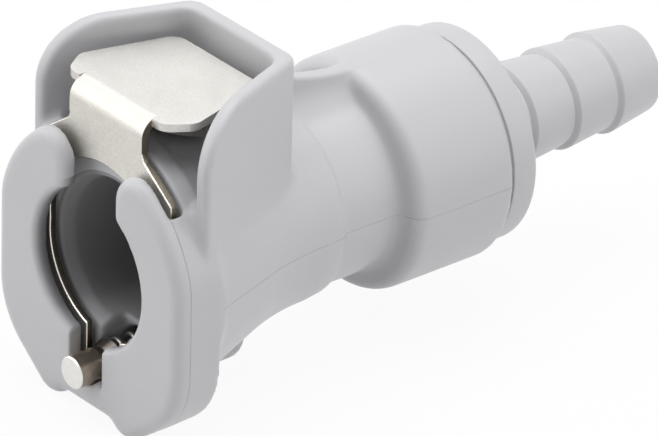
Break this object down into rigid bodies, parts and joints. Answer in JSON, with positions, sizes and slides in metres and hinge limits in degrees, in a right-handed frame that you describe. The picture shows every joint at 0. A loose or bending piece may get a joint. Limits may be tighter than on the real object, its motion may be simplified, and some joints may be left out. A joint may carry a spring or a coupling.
{
  "type": "quick-disconnect coupling body",
  "caption": "Pale grey plastic hose coupling body with a stamped steel thumb latch, a lock pin and a hose barb.",
  "frame": {"origin": "on the bore axis at the mouth face, where the mating insert enters", "axes": "+Y runs along the bore from the mouth to the hose barb, +Z points to the thumb pad, +X is to the right looking along +Y"},
  "size_m": [0.021, 0.0532, 0.0272],
  "materials": {
    "housing_grey": "satin",
    "latch_steel": "brushed",
    "pin_steel": "turned",
    "spring_steel": "drawn",
    "seal_rubber": "matte"
  },
  "bodies": {
    "housing": {"front_housing": "housing_grey", "barb_end": "housing_grey", "housing_seal": "seal_rubber", "pin_spring": "spring_steel"},
    "latch": {"thumb_latch": "latch_steel"},
    "pin": {"lock_pin": "pin_steel"}
  },
  "joints": [
    {"name": "latch_slide", "type": "slide", "parent": "housing", "child": "latch", "axis": [0, 0, 1], "range_m": [0, 0.0016]},
    {"name": "pin_slide", "type": "slide", "parent": "housing", "child": "pin", "axis": [0, 1, 0], "range_m": [0, 0.0012], "deforming": ["pin_spring"]}
  ],
  "couplings": [
    {"joint": "pin_slide", "follows": "latch_slide", "ratio": 0.75}
  ]
}
